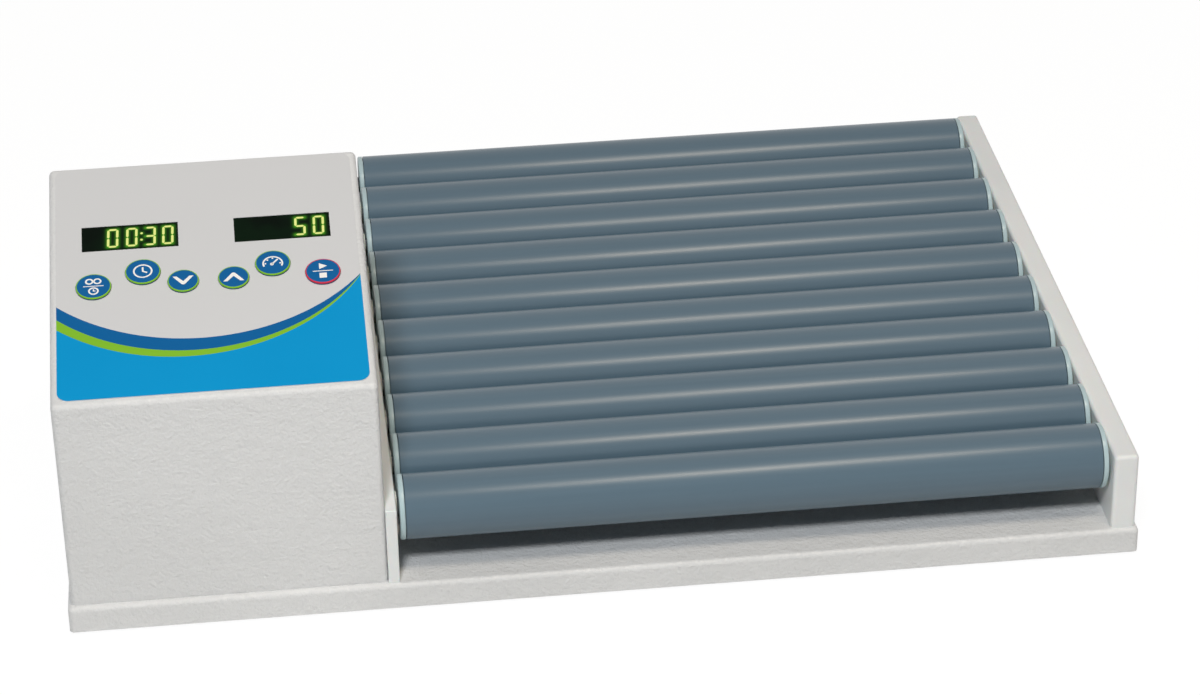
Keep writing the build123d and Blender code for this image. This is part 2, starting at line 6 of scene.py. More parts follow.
import json
from math import acos, atan2, cos, exp, hypot, pi, radians, sin, sqrt, tau

import bmesh
import bpy
from mathutils import Matrix, Vector

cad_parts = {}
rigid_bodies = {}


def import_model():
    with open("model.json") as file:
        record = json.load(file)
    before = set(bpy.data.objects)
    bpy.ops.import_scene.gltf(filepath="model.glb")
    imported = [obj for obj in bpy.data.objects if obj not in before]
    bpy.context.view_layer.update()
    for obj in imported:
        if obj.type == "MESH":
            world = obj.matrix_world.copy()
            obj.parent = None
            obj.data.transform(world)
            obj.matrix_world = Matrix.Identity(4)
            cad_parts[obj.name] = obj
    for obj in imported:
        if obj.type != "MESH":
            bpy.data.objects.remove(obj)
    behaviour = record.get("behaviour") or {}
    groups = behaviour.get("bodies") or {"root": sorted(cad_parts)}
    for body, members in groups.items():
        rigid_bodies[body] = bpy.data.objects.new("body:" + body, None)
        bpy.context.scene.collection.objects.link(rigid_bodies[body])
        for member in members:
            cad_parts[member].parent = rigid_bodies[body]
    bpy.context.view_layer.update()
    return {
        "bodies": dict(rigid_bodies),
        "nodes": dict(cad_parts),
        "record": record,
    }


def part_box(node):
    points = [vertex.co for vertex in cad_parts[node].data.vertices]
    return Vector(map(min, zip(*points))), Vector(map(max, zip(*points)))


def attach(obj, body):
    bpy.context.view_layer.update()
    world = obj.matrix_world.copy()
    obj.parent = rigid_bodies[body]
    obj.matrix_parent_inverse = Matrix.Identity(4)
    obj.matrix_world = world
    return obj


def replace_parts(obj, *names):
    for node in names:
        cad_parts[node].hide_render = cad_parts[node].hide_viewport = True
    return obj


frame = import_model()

mm = 0.001

# Rollers
roller_radius = 14.5 * mm
roller_wall = 2.0 * mm
tube_edge = 0.35 * mm
cap_thickness = 2.6 * mm
cap_round = 0.8 * mm
joint_groove = 0.3 * mm     # the dark line between the tube and its cap
joint_round = 0.15 * mm
plug_length = 12.0 * mm
axle_radius = 4.0 * mm
axle_chamfer = 0.5 * mm
pulley_radius = 7.5 * mm
pulley_flange_radius = 9.5 * mm
pulley_flange_thickness = 1.0 * mm
pulley_track_width = 5.6 * mm
pulley_round = 0.25 * mm
round_steps = 5
merge_distance = 1e-6
doubles_distance = 1e-7

# Control panel, from the middle and the lower edge of the slope
console_front_height = 100.0 * mm
panel_slope = radians(15.0)
overlay_margin = 3.0 * mm
overlay_thickness = 0.5 * mm
overlay_corner = 5.0 * mm
ink_thickness = 0.04 * mm
key_top = 1.5 * mm
key_fillet = 0.25 * mm
key_ring_width = 0.2
key_ring_depth = 0.6        # down the key's side, clear of the cover when the key is pressed
key_sides = 72
symbol_thickness = 0.05 * mm
symbol_line = 0.75
key_places = {
    "key_timed_mode": (-50.0, 71.5, 15.4),
    "key_time": (-28.4, 79.0, 15.4),
    "key_down": (-11.0, 71.5, 13.6),
    "key_up": (11.0, 71.5, 13.6),
    "key_speed": (28.4, 79.0, 15.4),
    "key_start_stop": (50.0, 71.5, 15.4),
}

# Printed stripes: heights at the left edge, at the lowest point and at the right edge
stripe_left = -65.45
stripe_lowest = -3.05
stripe_right = 66.25
stripe_steps = 72
stripe_heights = {
    "dark_top": (60.0, 35.7, 69.4),
    "border": (52.0, 28.6, 69.0),
    "green_bottom": (45.7, 25.1, 68.6),
}

# Digits of the displays
display_sink = 0.25 * mm
display_up = 102.8
display_size = (42.5, 16.0)
digit_height = 12.0
digit_width = 5.0
digit_slant = 0.03
segment_width = 1.05
segment_gap = 0.22
glow_spread = 0.75
glow_falloff = 1.3
glow_inset = 0.3
glow_grid = (120, 44)
glow_lift = 0.06 * mm
colon_u = -28.5
digit_places = {
    "time_display": ((-43.7, "0"), (-35.3, "0"), (-27.2, "3"), (-19.4, "0")),
    "speed_display": ((39.1, "5"), (47.3, "0")),
}

# Screws
screw_radius = 1.5 * mm
screw_length = 11.5 * mm
screw_head_radius = 2.8 * mm
screw_head_height = 1.4 * mm
screw_head_round = 0.77 * mm
screw_head_edge = 0.1 * mm
screw_point = 0.3 * mm
recess_length = 3.2 * mm
recess_width = 0.75 * mm
recess_depth = 0.9 * mm

# Power inlet and its rocker switch
socket_offset = 8.5 * mm
socket_depth = 17.0 * mm
blade_length = 11.5 * mm
blade_size = (2.0 * mm, 4.0 * mm)
blade_tip = 0.8 * mm
blade_skin = 0.04 * mm
blade_places = ((-7.0 * mm, -2.0 * mm), (7.0 * mm, -2.0 * mm), (0.0, 2.0 * mm))
rocker_offset = 14.5 * mm
rocker_pivot_depth = 2.0 * mm
rocker_radius = 8.6 * mm
rocker_crown = 4.2 * mm
rocker_tilt = radians(11.0)
rocker_mark_up = 4.6 * mm

# Camera, from the fit to the corners and roller ends in the photograph
photo_width = 1200
camera_distance_px = 3511.0
sensor_width = 36.0
camera_place = (-0.1393, -1.4670, 0.8631)
camera_azimuth = 0.1052
camera_elevation = -0.5165
camera_roll = -0.0180


def srgb(red, green, blue):
    """A colour given in 0 to 255, as the linear values that a shader takes."""
    linear = []
    for part in (red, green, blue):
        share = part / 255
        linear.append(share / 12.92 if share <= 0.04045 else ((share + 0.055) / 1.055) ** 2.4)
    return (*linear, 1.0)


class Finish:
    """A material and the few nodes that its recipe needs."""

    def __init__(self, name, colour, roughness, metallic=0.0, **sockets):
        self.material = bpy.data.materials.new(name)
        self.material.use_nodes = True
        self.tree = self.material.node_tree
        self.shader = self.tree.nodes["Principled BSDF"]
        self.place = self.tree.nodes.new("ShaderNodeTexCoord").outputs["Object"]
        self.normal = None
        self.set("Base Color", srgb(*colour))
        self.set("Roughness", roughness)
        self.set("Metallic", metallic)
        for socket, value in sockets.items():
            self.set(socket.replace("_", " "), value)

    def set(self, socket, value):
        """Sets an input of the shader."""
        self.shader.inputs[socket].default_value = value

    def link(self, source, target):
        self.tree.links.new(source, target)

    def stretched(self, scale):
        """Object coordinates, stretched or squeezed along each axis."""
        mapping = self.tree.nodes.new("ShaderNodeMapping")
        mapping.inputs["Scale"].default_value = scale
        self.link(self.place, mapping.inputs["Vector"])
        return mapping.outputs["Vector"]

    def noise(self, scale, detail=2.0, roughness=0.5, stretch=None):
        """Soft noise in cells of one metre over the scale."""
        node = self.tree.nodes.new("ShaderNodeTexNoise")
        node.inputs["Scale"].default_value = scale
        node.inputs["Detail"].default_value = detail
        node.inputs["Roughness"].default_value = roughness
        self.link(self.stretched(stretch) if stretch else self.place, node.inputs["Vector"])
        return node.outputs["Fac"]

    def cells(self, scale, feature="F1", output="Distance", stretch=None):
        """A pattern of angular cells."""
        node = self.tree.nodes.new("ShaderNodeTexVoronoi")
        node.feature = feature
        node.inputs["Scale"].default_value = scale
        self.link(self.stretched(stretch) if stretch else self.place, node.inputs["Vector"])
        return node.outputs[output]

    def ramp(self, value, low, high, from_value=0.0, to_value=1.0):
        """A value moved smoothly from one range to another."""
        node = self.tree.nodes.new("ShaderNodeMapRange")
        node.interpolation_type = "SMOOTHSTEP"
        sockets = {"From Min": low, "From Max": high, "To Min": from_value, "To Max": to_value}
        for socket, number in sockets.items():
            node.inputs[socket].default_value = number
        self.link(value, node.inputs["Value"])
        return node.outputs["Result"]

    def tint(self, value, first, second):
        """Base colour that goes from first to second as the value goes from 0 to 1."""
        node = self.tree.nodes.new("ShaderNodeMix")
        node.data_type = "RGBA"
        node.inputs["A"].default_value = srgb(*first)
        node.inputs["B"].default_value = srgb(*second)
        self.link(value, node.inputs["Factor"])
        self.link(node.outputs["Result"], self.shader.inputs["Base Color"])

    def vary_roughness(self, value, low, high):
        """Roughness from low to high over the middle of a noise's range."""
        self.link(self.ramp(value, 0.3, 0.7, low, high), self.shader.inputs["Roughness"])

    def bump(self, value, strength, distance):
        """Adds relief to whatever relief there is."""
        node = self.tree.nodes.new("ShaderNodeBump")
        node.inputs["Strength"].default_value = strength
        node.inputs["Distance"].default_value = distance
        self.link(value, node.inputs["Height"])
        if self.normal is not None:
            self.link(self.normal, node.inputs["Normal"])
        self.normal = node.outputs["Normal"]
        self.link(self.normal, self.shader.inputs["Normal"])


def powder_coat():
    """White powder coat with the soft dimples of orange peel and a fine sandy grain."""
    coat = Finish("powder_coat", (215, 216, 216), 0.34)
    peel = coat.noise(620, detail=2.5, roughness=0.55)
    swells = coat.noise(190, detail=1.5)
    grain = coat.noise(2100, detail=2.0)
    clouds = coat.noise(9, detail=2.0)
    coat.tint(coat.ramp(clouds, 0.35, 0.65), (213, 214, 214), (218, 219, 219))
    coat.bump(swells, 1.0, 0.5 * mm)
    coat.bump(peel, 1.0, 0.5 * mm)
    coat.bump(grain, 0.35, 0.06 * mm)
    coat.vary_roughness(grain, 0.26, 0.40)
    return coat.material


def plate_plastic():
    """Milled white polyethylene: waxy, with faint tool marks along its length."""
    plastic = Finish("plate_plastic", (230, 232, 231), 0.42, Subsurface_Weight=0.15, Subsurface_Scale=0.002)
    marks = plastic.noise(90, detail=3.0, stretch=(6.0, 0.25, 9.0))
    clouds = plastic.noise(14, detail=2.0)
    plastic.tint(plastic.ramp(clouds, 0.3, 0.7), (226, 229, 229), (233, 235, 234))
    plastic.bump(marks, 0.25, 0.05 * mm)
    plastic.vary_roughness(marks, 0.36, 0.50)
    return plastic.material


def roller_plastic():
    """Slate-grey extruded tube, satin, with fine draw lines along it."""
    tube = Finish("roller_plastic", (82, 107, 123), 0.3)
    lines = tube.noise(500, detail=2.0, stretch=(0.02, 1.0, 1.0))
    tube.tint(lines, (78, 100, 114), (84, 106, 120))
    tube.bump(tube.noise(1600, detail=1.0), 0.2, 0.01 * mm)
    tube.vary_roughness(lines, 0.29, 0.33)
    return tube.material


def cap_plastic():
    """Pale blue-grey moulded end of a roller."""
    cap = Finish("cap_plastic", (175, 197, 201), 0.30)
    clouds = cap.noise(220, detail=2.0)
    cap.tint(clouds, (168, 191, 195), (181, 202, 206))
    cap.bump(cap.noise(900), 0.12, 0.05 * mm)
    return cap.material


def pulley_plastic():
    """Black nylon with a faint moulding grain."""
    nylon = Finish("pulley_plastic", (26, 26, 28), 0.45)
    nylon.tint(nylon.noise(300), (22, 22, 24), (32, 32, 34))
    nylon.bump(nylon.noise(1400), 0.15, 0.04 * mm)
    return nylon.material


def overlay_film():
    """Pale grey printed film with a fine velvet face."""
    film = Finish("overlay_film", (210, 211, 212), 0.46, Specular_IOR_Level=0.3)
    velvet = film.noise(3200, detail=1.0)
    film.tint(film.noise(12), (208, 209, 210), (212, 213, 214))
    film.bump(velvet, 0.12, 0.02 * mm)
    return film.material


def ink(name, colour):
    """Ink on the film, with the film's own fine grain."""
    red, green, blue = colour
    print_ink = Finish(name, colour, 0.44, Specular_IOR_Level=0.15)
    lighter = (min(red + 5, 255), min(green + 5, 255), min(blue + 5, 255))
    print_ink.tint(print_ink.noise(25), colour, lighter)
    print_ink.bump(print_ink.noise(3200, detail=1.0), 0.12, 0.02 * mm)
    return print_ink.material


def display_window():
    """Dark green-black filter window with a gloss face."""
    window = Finish("display_window", (3, 20, 6), 0.16, Specular_IOR_Level=0.03)
    window.tint(window.ramp(window.noise(60), 0.35, 0.65), (2, 12, 4), (4, 26, 8))
    window.bump(window.noise(900), 0.04, 0.02 * mm)
    return window.material


def glow_window():
    """The display's window once more, with the green light that spreads round its lit segments."""
    window = Finish("display_glow", (3, 20, 6), 0.16, Specular_IOR_Level=0.03, Emission_Strength=1.0)
    window.tint(window.ramp(window.noise(60), 0.35, 0.65), (2, 12, 4), (4, 24, 8))
    spread = window.tree.nodes.new("ShaderNodeAttribute")
    spread.attribute_name = "glow"
    mixed = window.tree.nodes.new("ShaderNodeMix")
    mixed.data_type = "RGBA"
    mixed.inputs["A"].default_value = srgb(0, 0, 0)
    mixed.inputs["B"].default_value = srgb(80, 165, 32)
    window.link(spread.outputs["Fac"], mixed.inputs["Factor"])
    window.link(mixed.outputs["Result"], window.shader.inputs["Emission Color"])
    return window.material


def glowing(name, colour, strength):
    """Light that a display segment gives, a little uneven across it."""
    light = Finish(name, (10, 10, 10), 0.5, Emission_Strength=strength)
    red, green, blue = colour
    mixed = light.tree.nodes.new("ShaderNodeMix")
    mixed.data_type = "RGBA"
    mixed.inputs["A"].default_value = srgb(red * 0.9, green * 0.92, blue * 0.8)
    mixed.inputs["B"].default_value = srgb(*colour)
    light.link(light.noise(900), mixed.inputs["Factor"])
    light.link(mixed.outputs["Result"], light.shader.inputs["Emission Color"])
    return light.material


def zinc_sheet():
    """Zinc-plated steel with a faint spangle."""
    zinc = Finish("zinc_sheet", (186, 189, 194), 0.34, metallic=1.0)
    spangle = zinc.cells(140, output="Color")
    grey = zinc.tree.nodes.new("ShaderNodeRGBToBW")
    zinc.link(spangle, grey.inputs["Color"])
    zinc.tint(grey.outputs["Val"], (174, 177, 183), (196, 199, 203))
    zinc.vary_roughness(grey.outputs["Val"], 0.28, 0.42)
    zinc.bump(zinc.noise(1600), 0.1, 0.03 * mm)
    return zinc.material


def rubber(name, colour):
    """Matt rubber with a dusty grain."""
    matt = Finish(name, colour, 0.78)
    red, green, blue = colour
    matt.tint(matt.noise(400, detail=3.0), colour, (red + 12, green + 12, blue + 12))
    matt.bump(matt.noise(1800), 0.3, 0.06 * mm)
    return matt.material


def nylon_bush():
    """Natural nylon."""
    nylon = Finish("natural_nylon", (224, 220, 206), 0.45, Subsurface_Weight=0.1, Subsurface_Scale=0.002)
    nylon.tint(nylon.noise(300), (218, 214, 200), (228, 224, 212))
    nylon.bump(nylon.noise(1200), 0.1, 0.03 * mm)
    return nylon.material


def bright_steel():
    """Nickel-plated steel."""
    steel = Finish("bright_steel", (200, 200, 198), 0.22, metallic=1.0)
    steel.tint(steel.noise(700), (192, 192, 190), (208, 208, 206))
    steel.bump(steel.noise(2400), 0.06, 0.02 * mm)
    return steel.material


def circuit_board():
    """Green solder mask with lighter tracks."""
    board = Finish("circuit_board", (12, 78, 40), 0.3)
    tracks = board.cells(260, feature="DISTANCE_TO_EDGE")
    board.tint(board.ramp(tracks, 0.02, 0.06), (38, 112, 62), (10, 70, 36))
    board.bump(tracks, 0.1, 0.03 * mm)
    return board.material


def axle_steel():
    """Steel axle whose colour is darkened as painted shade of the gap between the roller's end and its
    plate.
    """
    steel = Finish("axle_steel", (96, 98, 102), 0.38, metallic=1.0)
    steel.tint(steel.noise(500), (88, 90, 94), (104, 106, 110))
    steel.bump(steel.noise(2400), 0.06, 0.02 * mm)
    return steel.material


def motor_steel():
    """Turned and plated motor case, brushed round its axis."""
    case = Finish("motor_steel", (176, 177, 180), 0.32, metallic=1.0)
    brushed = case.noise(700, detail=3.0, stretch=(1.0, 0.05, 0.05))
    case.tint(brushed, (164, 165, 168), (186, 187, 190))
    case.bump(brushed, 0.12, 0.03 * mm)
    return case.material


def black_moulding():
    """Black moulded plastic with a fine spark texture."""
    plastic = Finish("black_plastic", (24, 24, 26), 0.42)
    spark = plastic.noise(2200, detail=2.0)
    plastic.tint(plastic.noise(500), (21, 21, 23), (29, 29, 31))
    plastic.bump(spark, 0.25, 0.04 * mm)
    return plastic.material


def key_face():
    """Blue key top."""
    blue = Finish("key_face", (0, 93, 154), 0.36, Specular_IOR_Level=0.15)
    blue.tint(blue.noise(260), (0, 90, 149), (3, 97, 158))
    blue.bump(blue.noise(2600), 0.12, 0.02 * mm)
    return blue.material


finishes = {
    "white_powder_coat": powder_coat(),
    "zinc_sheet": zinc_sheet(),
    "black_rubber": rubber("black_rubber", (24, 24, 25)),
    "white_plate_plastic": plate_plastic(),
    "nylon_bush": nylon_bush(),
    "bright_screw": bright_steel(),
    "printed_overlay": overlay_film(),
    "dark_display": display_window(),
    "green_board": circuit_board(),
    "motor_case": motor_steel(),
    "black_pulley": pulley_plastic(),
    "black_moulding": black_moulding(),
    "blue_key": key_face(),
    "grey_roller_tube": roller_plastic(),
    "pale_roller_end": cap_plastic(),
}
dark_blue_ink = ink("dark_blue_ink", (0, 91, 151))
green_ink = ink("green_ink", (127, 184, 44))
bright_blue_ink = ink("bright_blue_ink", (0, 146, 205))
red_ink = ink("red_ink", (206, 52, 72))
white_ink = ink("white_ink", (246, 244, 240))
segment_light = glowing("segment_light", (236, 240, 140), 1.0)
display_glow = glow_window()
# The axles' dark steel is painted shade for the gap beside the end plates, not the steel's own colour.
axle_painted_shade = axle_steel()


def dress_nodes():
    """Gives every node of the frame the finish of its slot."""
    for part in frame["record"]["subparts"]:
        for place in frame["nodes"][part["node"]].material_slots:
            place.material = finishes[part["material_slot"]]


def outward(mesh):
    """Merges doubles, turns the faces outwards, and keeps the corners sharp."""
    shape = bmesh.new()
    shape.from_mesh(mesh)
    bmesh.ops.remove_doubles(shape, verts=shape.verts, dist=doubles_distance)
    bmesh.ops.recalc_face_normals(shape, faces=shape.faces)
    for face in shape.faces:
        face.smooth = True
    shape.to_mesh(mesh)
    shape.free()
    mesh.set_sharp_from_angle(angle=radians(32))
    return mesh


def piece(name, mesh, body, slot, material=None):
    """A new object that rides on a body and takes a slot's finish, or its own."""
    thing = bpy.data.objects.new(name, mesh)
    bpy.context.scene.collection.objects.link(thing)
    mesh.materials.clear()
    mesh.materials.append(material or finishes[slot])
    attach(thing, body)
    return thing


def group(name, inputs):
    """An empty geometry tree with a geometry input, named inputs and a geometry output."""
    tree = bpy.data.node_groups.new(name, "GeometryNodeTree")
    tree.interface.new_socket("Geometry", in_out="INPUT", socket_type="NodeSocketGeometry")
    for label, kind in inputs:
        tree.interface.new_socket(label, in_out="INPUT", socket_type="NodeSocket" + kind)
    tree.interface.new_socket("Geometry", in_out="OUTPUT", socket_type="NodeSocketGeometry")
    return tree


class Wiring:
    """Adds and joins the nodes of a geometry tree."""

    def __init__(self, tree):
        self.tree = tree
        self.given = tree.nodes.new("NodeGroupInput").outputs
        self.result = tree.nodes.new("NodeGroupOutput").inputs["Geometry"]

    def add(self, kind, sockets=None, **settings):
        """A new node with its settings, and with links or values in its sockets."""
        node = self.tree.nodes.new(kind)
        for setting, value in settings.items():
            setattr(node, setting, value)
        for socket, value in (sockets or {}).items():
            if isinstance(value, bpy.types.NodeSocket):
                self.tree.links.new(value, node.inputs[socket])
            else:
                node.inputs[socket].default_value = value
        return node

    def maths(self, operation, first, second=None):
        sockets = {0: first}
        if second is not None:
            sockets[1] = second
        return self.add("ShaderNodeMath", sockets, operation=operation).outputs[0]

    def finish(self, geometry):
        """Ends the tree in plain, finished geometry."""
        real = self.add("GeometryNodeRealizeInstances", {"Geometry": geometry}).outputs["Geometry"]
        done = self.add("GeometryNodeSetMaterial", {"Geometry": real, "Material": self.given["Finish"]})
        self.tree.links.new(done.outputs["Geometry"], self.result)


def evaluated(name, mesh, tree, values):
    """The plain mesh that a geometry tree makes of a mesh, with its named inputs set."""
    source = bpy.data.objects.new(name + "_source", mesh)
    bpy.context.scene.collection.objects.link(source)
    modifier = source.modifiers.new("shape", "NODES")
    modifier.node_group = tree
    sockets = {item.name: item.identifier for item in tree.interface.items_tree if item.in_out == "INPUT"}
    for label, value in values.items():
        modifier[sockets[label]] = value
    graph = bpy.context.evaluated_depsgraph_get()
    made = bpy.data.meshes.new_from_object(source.evaluated_get(graph))
    made.name = name
    source.modifiers.remove(modifier)
    bpy.data.objects.remove(source)
    return outward(made)


def turning_tree():
    """Turns an outline of distance along X and radius, held as X and Y of a row of points, about X."""
    tree = group("turned_form", [("Sides", "Int"), ("Axis", "Vector"), ("Finish", "Material")])
    wire = Wiring(tree)
    outline = wire.given["Geometry"]
    count = wire.add("GeometryNodeAttributeDomainSize", {"Geometry": outline}).outputs["Point Count"]
    columns = wire.maths("ADD", wire.given["Sides"], 1.0)
    grid = wire.add("GeometryNodeMeshGrid", {"Vertices X": count, "Vertices Y": columns}).outputs["Mesh"]
    index = wire.add("GeometryNodeInputIndex").outputs["Index"]
    row = wire.maths("FLOOR", wire.maths("DIVIDE", wire.maths("ADD", index, 0.5), columns))
    column = wire.maths("SUBTRACT", index, wire.maths("MULTIPLY", row, columns))
    place = wire.add("GeometryNodeInputPosition").outputs["Position"]
    sample = wire.add(
        "GeometryNodeSampleIndex",
        {"Geometry": outline, "Value": place, "Index": row},
        data_type="FLOAT_VECTOR",
    )
    parts = wire.add("ShaderNodeSeparateXYZ", {"Vector": sample.outputs["Value"]}).outputs
    angle = wire.maths("MULTIPLY", column, wire.maths("DIVIDE", tau, wire.given["Sides"]))
    across = wire.maths("MULTIPLY", parts["Y"], wire.maths("COSINE", angle))
    up = wire.maths("MULTIPLY", parts["Y"], wire.maths("SINE", angle))
    moved = wire.add("ShaderNodeCombineXYZ", {"X": parts["X"], "Y": across, "Z": up}).outputs["Vector"]
    places = {"Geometry": grid, "Position": moved, "Offset": wire.given["Axis"]}
    surface = wire.add("GeometryNodeSetPosition", places).outputs["Geometry"]
    merged = wire.add("GeometryNodeMergeByDistance", {"Geometry": surface, "Distance": merge_distance})
    wire.finish(merged.outputs["Geometry"])
    return tree


turning = turning_tree()


def row_of_points(points):
    """An outline as a mesh of edges, for the turning tree."""
    mesh = bpy.data.meshes.new("outline")
    edges = [(index, index + 1) for index in range(len(points) - 1)]
    mesh.from_pydata([(along, radius, 0) for along, radius in points], edges, [])
    return mesh


def turned(name, outline, axis, material, sides=96):
    """A mesh turned about an axis along X, through axis, from points of distance along X and radius."""
    values = {"Sides": sides, "Axis": axis, "Finish": material}
    return evaluated(name, row_of_points(outline), turning, values)


def rounded(outline, radius):
    """An outline whose corners are rounded with a few points each; a corner may state its own radius."""
    points = []
    for index, corner in enumerate(outline):
        here = Vector(corner[:2])
        size = corner[2] if len(corner) > 2 else radius
        if index in (0, len(outline) - 1) or size == 0:
            points.append(tuple(here))
            continue
        before = (Vector(outline[index - 1][:2]) - here).normalized()
        after = (Vector(outline[index + 1][:2]) - here).normalized()
        half = acos(max(-1.0, min(1.0, before.dot(after)))) / 2
        reach = size / (sin(half) / cos(half))
        centre = here + (before + after).normalized() * (size / sin(half))
        start, end = here + before * reach, here + after * reach
        first = atan2(start.y - centre.y, start.x - centre.x)
        sweep = (atan2(end.y - centre.y, end.x - centre.x) - first + pi) % tau - pi
        for step in range(round_steps + 1):
            turn = first + sweep * step / round_steps
            points.append((centre.x + size * cos(turn), centre.y + size * sin(turn)))
    return points


def tube_mesh(name, low, high, axis):
    """Roller tube with softened ends."""
    outer, inner = roller_radius, roller_radius - roller_wall
    outline = [(low, inner), (low, outer), (high, outer), (high, inner)]
    points = rounded([*outline, outline[0]], tube_edge)
    return turned(name, points, axis, finishes["grey_roller_tube"])


def end_outline(joint, outside):
    """Plug and flange of a roller's end, from the tube's end at joint towards outside, -1 or 1."""
    plug = roller_radius - roller_wall - 0.1 * mm
    flange = joint + outside * cap_thickness
    step = joint + outside * joint_groove
    return [
        (joint - outside * plug_length, 0, 0),
        (joint - outside * plug_length, plug),
        (step, plug, 0),
        (step, roller_radius, joint_round),
        (flange, roller_radius, cap_round),
        (flange, axle_radius, 0),
    ]


def cap_mesh(name, joint, outside, axis):
    """Cap of a roller's end, with the plug that holds it in the tube."""
    outline = end_outline(joint, outside) + [(joint - outside * plug_length, axle_radius, 0)]
    outline[0] = (joint - outside * plug_length, axle_radius, 0)
    return turned(name, rounded(outline, joint_round), axis, finishes["pale_roller_end"])


def axle_mesh(name, inside, tip, axis):
    """Plain steel axle with a chamfered tip."""
    lead = axle_chamfer if tip < inside else -axle_chamfer
    outline = [(inside, 0), (inside, axle_radius), (tip + lead, axle_radius)]
    outline += [(tip, axle_radius - axle_chamfer), (tip, 0)]
    return turned(name, outline, axis, finishes["bright_screw"], sides=64)


def double_pulley_mesh(name, tip, axis):
    """Two belt tracks between three rounded flanges."""
    flange, track = pulley_flange_thickness, pulley_track_width
    edge = tip + 3 * flange + 2 * track
    outline = [(edge, axle_radius, 0)]
    for _ in range(2):
        outline += [(edge, pulley_flange_radius), (edge - flange, pulley_flange_radius)]
        outline += [(edge - flange, pulley_radius, 0), (edge - flange - track, pulley_radius, 0)]
        edge -= flange + track
    outline += [(edge, pulley_flange_radius), (tip, pulley_flange_radius)]
    outline += [(tip, axle_radius, 0), outline[0]]
    return turned(name, rounded(outline, pulley_round), axis, finishes["black_pulley"])


def rollers():
    """Detailed tubes and ends for every roller body."""
    numbers = [name[-2:] for name in frame["bodies"] if name.startswith("roller_")]
    for number in sorted(numbers):
        body = f"roller_{number}"
        nodes = [f"roller_tube_{number}", f"roller_drive_end_{number}", f"roller_idle_end_{number}"]
        (low, high), drive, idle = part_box(nodes[0]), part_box(nodes[1]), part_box(nodes[2])
        axis = Vector((0, (low.y + high.y) / 2, (low.z + high.z) / 2))
        tube = tube_mesh(f"tube_{number}", low.x, high.x, axis)
        left_cap = cap_mesh(f"left_cap_{number}", low.x, -1, axis)
        right_cap = cap_mesh(f"right_cap_{number}", high.x, 1, axis)
        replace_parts(piece(tube.name, tube, body, "grey_roller_tube"), nodes[0])
        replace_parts(piece(left_cap.name, left_cap, body, "pale_roller_end"), nodes[1])
        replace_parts(piece(right_cap.name, right_cap, body, "pale_roller_end"), nodes[2])
        ends = (("left", low.x + plug_length, drive[0].x), ("right", high.x - plug_length, idle[1].x))
        for side, inside, tip in ends:
            axle = axle_mesh(f"{side}_axle_{number}", inside, tip, axis)
            # the axle takes the darkened steel: painted shade in the gap by the end plate
            piece(axle.name, axle, body, "bright_screw", axle_painted_shade)
        pulley = double_pulley_mesh(f"pulley_{number}", drive[0].x, axis)
        piece(pulley.name, pulley, body, "black_pulley")


# The panel's own frame: u across it, v up the slope and n out of it
cover_low, cover_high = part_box("console_cover")
panel_origin = Vector(((cover_low.x + cover_high.x) / 2, cover_low.y, cover_low.z + console_front_height))
panel_v = Vector((0, cos(panel_slope), sin(panel_slope)))
panel_n = Vector((0, -sin(panel_slope), cos(panel_slope)))


def on_panel(u, v, n=0.0):
    """A point of the part's frame from the panel's own metres."""
    return panel_origin + Vector((u, 0, 0)) + panel_v * v + panel_n * n


def bridge(shape, rows, closed=False):
    """Joins each row of points to the next with faces, and the last to the first in a closed run."""
    for here, after in zip(rows, rows[1:] + rows[:1] if closed else rows[1:]):
        for side in range(len(here)):
            other = (side + 1) % len(here)
            shape.faces.new((here[side], here[other], after[other], after[side]))


def mesh_of(shape, name):
    """A shape as a named mesh with its faces turned outwards."""
    bmesh.ops.recalc_face_normals(shape, faces=shape.faces)
    mesh = bpy.data.meshes.new(name)
    shape.to_mesh(mesh)
    shape.free()
    return mesh


def add_ribbon(shape, pairs, base, thickness, closed, place):
    """Adds a thin flat strip between two lines of points, given as pairs across the strip."""
    rows = []
    for left, right in pairs:
        corners = ((left, base), (right, base), (right, base + thickness), (left, base + thickness))
        rows.append([shape.verts.new(place(u * mm, v * mm, n)) for (u, v), n in corners])
    bridge(shape, rows, closed)
    if not closed:
        shape.faces.new(rows[0])
        shape.faces.new(rows[-1][::-1])


def film(name, ribbons, base, thickness, place=on_panel):
    """A thin print on a plane, from ribbons of point pairs; a closed one has True beside its pairs."""
    shape = bmesh.new()
    for pairs, closed in ribbons:
        add_ribbon(shape, pairs, base, thickness, closed, place)
    bmesh.ops.remove_doubles(shape, verts=shape.verts, dist=doubles_distance)
    return mesh_of(shape, name)


def disc(u, v, radius, sides=48):
    """Pairs of points of a filled disc, from its left end to its right end."""
    turns = [pi - pi * step / (sides // 2) for step in range(1, sides // 2)]
    halves = [(u + radius * cos(turn), radius * sin(turn)) for turn in turns]
    return [((x, v - rise), (x, v + rise)) for x, rise in halves]


def arc_band(u, v, radius, width, start=0.0, sweep=360.0, steps=60):
    """Pairs of points of a ring or part of a ring, with its middle line at radius."""
    turns = [radians(start + sweep * step / steps) for step in range(steps + (sweep < 360))]
    inner, outer = radius - width / 2, radius + width / 2
    ways = [(cos(turn), sin(turn)) for turn in turns]
    return [tuple((u + reach * x, v + reach * y) for reach in (inner, outer)) for x, y in ways]


def stroke(points, width):
    """Pairs of points of a stroke along straight runs, with mitred corners and flat ends."""
    pairs = []
    for index, point in enumerate(points):
        here = Vector(point)
        ways = []
        if index:
            ways.append((here - Vector(points[index - 1])).normalized())
        if index < len(points) - 1:
            ways.append((Vector(points[index + 1]) - here).normalized())
        way = sum(ways, Vector((0, 0))).normalized()
        side = Vector((-way.y, way.x)) * (width / 2) / way.dot(ways[0])
        pairs.append((tuple(here - side), tuple(here + side)))
    return pairs


